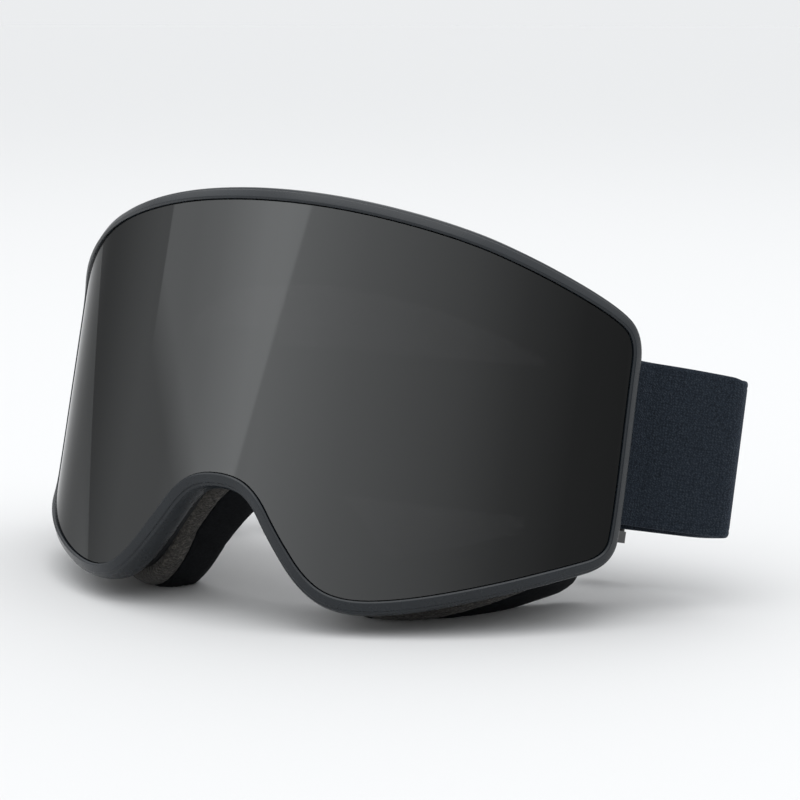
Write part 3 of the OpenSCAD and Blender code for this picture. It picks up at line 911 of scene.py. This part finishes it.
def webbing_strip(name, path, start=0.0, gap=1.0):
    """Webbing along a path seen from above, with soft woven edges, pinched where it folds."""
    path = resampled(path, gap)
    normals = path_normals(path)
    runs = start + np.concatenate([[0], np.cumsum(np.linalg.norm(np.diff(path, axis=0), axis=1))])
    half = STRAP_T / 2
    heights = np.concatenate([HEM_HEIGHTS, np.linspace(5, STRAP_W - 5, 20),
                              STRAP_W - HEM_HEIGHTS[::-1]])
    inwards = np.minimum(heights, STRAP_W - heights)
    drop = np.clip(inwards / WOVEN_EDGE, 0, 1)
    width = half * np.sqrt(1 - (1 - drop) ** 2 * 0.75)
    width -= HEM_GROOVE * np.exp(-((inwards - HEM_GROOVE_AT) / HEM_GROOVE_W) ** 2)
    width[[0, -1]] = half * 0.2
    front = [(h, w) for h, w in zip(heights, width)]
    back = [(h, -w) for h, w in reversed(front)]
    section = front + back
    m, n = len(section), len(path)
    vertices, uvs = [], []
    to_fold = FOLD[0] - np.abs(path[:, 0])
    pinch = sum(pull * np.clip(1 - to_fold / reach, 0, 1) ** 2 for pull, reach in FOLD_PINCH)
    for i in range(n):
        for h, w in section:
            spot = path[i] + normals[i] * w
            up = STRAP_W / 2 + (h - STRAP_W / 2) * (1 - 2 * pinch[i] / STRAP_W)
            vertices.append((spot[0], spot[1], STRAP_Z + up))
            uvs.append((runs[i] / 1000, h / 1000))
    faces = ring_faces(n, m, closed=False)
    faces += [tuple(range(m)), tuple(range((n - 1) * m, n * m))]
    return new_object(name, placed(vertices), faces, uvs)


def round_bar(centre, radius, first, last, count=16):
    """Points on a circle from the angle first to the angle last, in degrees."""
    angles = np.radians(np.linspace(first, last, count))
    return [centre + radius * np.array([math.cos(a), math.sin(a)]) for a in angles]


def shifted(path, amount):
    """The path moved to its right by amount."""
    path = np.asarray(path, float)
    return path + path_normals(path) * amount


def side_path():
    """The strap's middle line from just behind the clip, round the fold, to the rear run."""
    start = BAR + STRAP_WAY * LAYERS_PART
    return np.array([start] + fillet(start, FOLD, REAR_TURN, FOLD_R)
                    + fillet(FOLD, REAR_TURN, np.array([0, STRAP_BACK]), REAR_TURN_R))


def mirrored(path, side):
    """The path for the wearer's left, where side is 1, or right, where it is -1."""
    return np.asarray(path) * (side, 1)


STITCH_GAP = 3.2
STITCH_LENGTH = 2.5
THREAD_R = 0.26
# Rows of stitches: distances along the strap from the clip's bar, and from the adjuster's
CLIP_SEAMS = (7.0, 8.8)
TAIL_SEAMS = (5.4, 7.2)


def stitch_rows(name, rows):
    """Rows of stitches from edge to edge: each row is a place and the way that it faces."""
    vertices, faces = [], []
    lengthwise, around = 7, 6
    for place, facing in rows:
        sideways = np.array([-facing[1], facing[0]])
        for low in np.arange(STRAP_Z + 2.8, STRAP_Z + STRAP_W - 5, STITCH_GAP):
            start = len(vertices)
            for k in range(lengthwise):
                t = k / (lengthwise - 1)
                r = THREAD_R * math.sqrt(max(0.06, 1 - (2 * t - 1) ** 4))
                middle = np.asarray(place) + np.asarray(facing) * (0.2 * math.sin(math.pi * t) - 0.1)
                for a in range(around):
                    turn = 2 * math.pi * a / around
                    spot = middle + r * (math.cos(turn) * np.asarray(facing) + math.sin(turn) * sideways)
                    vertices.append((spot[0], spot[1], low + STITCH_LENGTH * t))
            faces += [tuple(start + i for i in f)
                      for f in ring_faces(lengthwise, around, closed=False)]
            faces += [tuple(range(start, start + around)),
                      tuple(range(start + (lengthwise - 1) * around, start + lengthwise * around))]
    return new_object(name, placed(vertices), faces)


def bending(piece, material):
    """Gives webbing or thread its material and bakes its placing into its mesh."""
    piece.data.materials.append(material)
    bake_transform(piece)


def build_strap_side(name, side, outer, inner):
    """The strap from its rear, round the fold and the clip's bar, to the inner layer's end."""
    heading = math.degrees(math.atan2(STRAP_WAY[1], STRAP_WAY[0]))
    first, last = (heading + turned_by for turned_by in BAR_TURN)
    turn = round_bar(BAR, BAR_R + EYE_SLACK + STRAP_T / 2, first, last, 24)
    outer_part = [*outer, np.array([ADJUSTER_X, REAR_Y])]
    inner_part = [p for p in inner if p[0] > TAIL_X or p[1] < STRAP_BACK - 4]
    inner_part.append(np.array([TAIL_X, INNER_REAR_Y]))
    whole = np.array(outer_part[::-1] + turn[::-1] + inner_part)
    piece = webbing_strip("strap_side_" + name, mirrored(whole, side), ADJUSTER_X, 0.8)
    bending(piece, WEBBING)
    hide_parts("strap_loop_" + name, "strap_tail_" + name)
    inward = np.array([-STRAP_WAY[1], STRAP_WAY[0]])
    seam = [(mirrored(BAR + STRAP_WAY * d + inward * STRAP_T, side), mirrored(inward, side))
            for d in CLIP_SEAMS]
    bending(stitch_rows("strap_side_stitches_" + name, seam), THREAD)


def build_tail_end(name, side):
    """The strap's tail from the inner layer, round the adjuster's middle bar."""
    turn = round_bar(np.array([ADJUSTER_X, BAR_Y]), CENTRE_BAR_R + EYE_SLACK + STRAP_T / 2, 90, 270)
    run = [(TAIL_X, INNER_REAR_Y), (72.0, INNER_REAR_Y), (66.0, BAR_Y + STRAP_T / 2)]
    whole = np.array([*run, *turn, (ADJUSTER_X + 9, BAR_Y - STRAP_T / 2)])
    piece = webbing_strip("strap_tail_end_" + name, mirrored(whole, side), 0, 0.6)
    bending(piece, WEBBING)
    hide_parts("tail_end_" + name)
    seam = [(mirrored((ADJUSTER_X + d, BAR_Y - STRAP_T), side), np.array([0.0, -1.0]))
            for d in TAIL_SEAMS]
    made(stitch_rows("strap_tail_stitches_" + name, seam), "adjuster_" + name, THREAD, "webbing")


def build_strap():
    middle = np.array([[ADJUSTER_X, REAR_Y], [-ADJUSTER_X, REAR_Y]])
    band = webbing_strip("strap_rear", middle, -ADJUSTER_X)
    made(band, "frame", WEBBING, "webbing", "strap_band")
    line = resampled(side_path(), 0.8)
    outer, inner = shifted(line, LAYER_SHIFT), shifted(line, -LAYER_SHIFT)
    for name, side in (("left", 1), ("right", -1)):
        build_strap_side(name, side, outer, inner)
    for name, side in (("left", 1), ("right", -1)):
        build_tail_end(name, side)
        painted("adjuster_" + name, HARD, 0.5)
        painted("strap_clip_" + name, HARD, 0.35)
        painted("outrigger_" + name, FRAME, 0.3)
        painted("pivot_pin_" + name, STEEL, 0.2)
    painted("outrigger_screws", STEEL, 0.25)
    painted("strap_grips", SILICONE, 0.24)


# ---------------------------------------------------------------- studio

# Brightness of the dome round the horizon: a share of a turn, from behind over the wearer's
# right (0.25) and the front (0.5) to the wearer's left (0.75)
SIDE_LIGHT = [
    (0.0, 0.8), (0.2, 0.45), (0.24, 0.5), (0.29, 0.6), (0.335, 0.56), (0.364, 0.66),
    (0.41, 1.02), (0.43, 1.05), (0.464, 0.91), (0.508, 0.73), (0.6, 0.46), (0.65, 0.27),
    (0.7, 0.155), (0.74, 0.13), (0.79, 0.7), (0.95, 0.8),
]
# Brightness overhead, and the heights, as sines, between which it takes over
OVERHEAD_LIGHT = 1.3
OVERHEAD_FROM = 0.4
OVERHEAD_FULL = 0.62
# A soft panel on the dome, to the wearer's right and front. Each edge runs through two directions,
# an azimuth from straight ahead towards the wearer's left and an elevation, in degrees. The panel
# is on the wearer's right of the way from the first to the second. The third number is how soft
# the edge is.
PANEL_EDGES = [((-72.0, 9.3), (-44.0, 10.8), 0.035),
               ((-29.0, 15.7), (-18.9, 21.8), 0.006),
               ((-72.3, 20.0), (-71.3, 0.0), 0.006)]
PANEL_LIGHT = 0.35
# Brightness of the dome where the camera sees it
BACKDROP = 0.86
PALE = (0.97, 0.985, 1, 1)
TOP_LIGHT_W = 1.6
TOP_LIGHT_HEIGHT = 1.8
TOP_LIGHT_POWER = 8
FLOOR_REACH = 60


def toward(azimuth, elevation):
    """The direction at an azimuth and an elevation, in degrees."""
    a, e = math.radians(azimuth), math.radians(elevation)
    return Vector((math.sin(a) * math.cos(e), -math.cos(a) * math.cos(e), math.sin(e)))


def softbox(name, place, aim, size, power):
    """A square lamp that faces aim."""
    light = bpy.data.lights.new(name, "AREA")
    light.shape = "RECTANGLE"
    light.size = light.size_y = size
    light.energy = power
    lamp = bpy.data.objects.new(name, light)
    bpy.context.scene.collection.objects.link(lamp)
    lamp.location = place
    lamp.rotation_euler = (Vector(aim) - Vector(place)).to_track_quat("-Z", "Y").to_euler()


def build_world():
    """A pale dome, brightest overhead and dimmest to the wearer's left, with a soft panel."""
    world = bpy.data.worlds.new("studio")
    world.use_nodes = True
    tree = world.node_tree
    background = tree.nodes["Background"]
    background.inputs["Color"].default_value = PALE

    def maths(operation, *values):
        node = tree.nodes.new("ShaderNodeMath")
        node.operation = operation
        for socket, value in zip(node.inputs, values):
            if isinstance(value, (int, float)):
                socket.default_value = value
            else:
                tree.links.new(value, socket)
        return node.outputs["Value"]

    def ramp(value, stops):
        node = tree.nodes.new("ShaderNodeValToRGB")
        elements = node.color_ramp.elements
        while len(elements) < len(stops):
            elements.new(0.5)
        for element, (position, level) in zip(elements, stops):
            element.position = position
            element.color = (level, level, level, 1)
        tree.links.new(value, node.inputs["Fac"])
        return node.outputs["Color"]

    direction = tree.nodes.new("ShaderNodeSeparateXYZ")
    sky = tree.nodes.new("ShaderNodeTexCoord").outputs["Generated"]
    tree.links.new(sky, direction.inputs["Vector"])
    x, y, z = direction.outputs
    round_turn = maths("DIVIDE", maths("ARCTAN2", x, maths("MULTIPLY", y, -1)), 2 * math.pi)
    side = ramp(maths("ADD", round_turn, 0.5), SIDE_LIGHT)
    overhead = ramp(z, [(OVERHEAD_FROM, 0.0), (OVERHEAD_FULL, 1.0)])
    level = maths("ADD", maths("MULTIPLY", side, maths("SUBTRACT", 1.0, overhead)),
                  maths("MULTIPLY", overhead, OVERHEAD_LIGHT))
    inside = maths("SUBTRACT", 1.0, overhead)
    for first, second, blur in PANEL_EDGES:
        normal = toward(*first).cross(toward(*second)).normalized()
        parts = [maths("MULTIPLY", axis, share) for axis, share in zip((x, y, z), normal)]
        reach = maths("ADD", maths("ADD", parts[0], parts[1]), parts[2])
        inside = maths("MULTIPLY", inside, ramp(reach, [(0.0, 0.0), (blur, 1.0)]))
    level = maths("ADD", level, maths("MULTIPLY", inside, PANEL_LIGHT))
    seen = tree.nodes.new("ShaderNodeLightPath").outputs["Is Camera Ray"]
    shown = maths("ADD", maths("MULTIPLY", seen, BACKDROP),
                  maths("MULTIPLY", maths("SUBTRACT", 1.0, seen), level))
    tree.links.new(shown, background.inputs["Strength"])
    bpy.context.scene.world = world


def build_studio():
    build_world()
    bpy.context.scene.view_settings.view_transform = "Standard"
    softbox("top", (0.0, 0.0, TOP_LIGHT_HEIGHT), (0.0, 0.0, 0.05), TOP_LIGHT_W, TOP_LIGHT_POWER)
    corners_of_floor = [(a * FLOOR_REACH, b * FLOOR_REACH, 0)
                        for a, b in ((-1, -1), (1, -1), (1, 1), (-1, 1))]
    floor = new_object("floor", corners_of_floor, [(0, 1, 2, 3)])
    m = Nodes("floor", (0.76, 0.76, 0.76), 0.75)
    m.set(m.shader, {"Specular IOR Level": 0.1})
    floor.data.materials.append(m.material)


CAMERA_DISTANCE = 0.64
CAMERA_AZIMUTH = 32.27
CAMERA_ELEVATION = 8.64
CAMERA_AIM = Vector((0.0189, 0.0043, 0.0484))
CAMERA_LENS = 112.5
CAMERA_SENSOR = 36


def build_camera():
    camera = bpy.data.objects.new("camera", bpy.data.cameras.new("camera"))
    camera.data.lens = CAMERA_LENS
    camera.data.sensor_width = CAMERA_SENSOR
    camera.data.clip_start = 0.01
    camera.location = CAMERA_AIM + toward(CAMERA_AZIMUTH, CAMERA_ELEVATION) * CAMERA_DISTANCE
    camera.rotation_euler = (math.radians(90 - CAMERA_ELEVATION), 0, math.radians(CAMERA_AZIMUTH))
    bpy.context.scene.collection.objects.link(camera)
    bpy.context.scene.camera = camera


build_camera()
build_lens()
build_rim()
build_chassis()
build_foam()
build_strap()
build_studio()
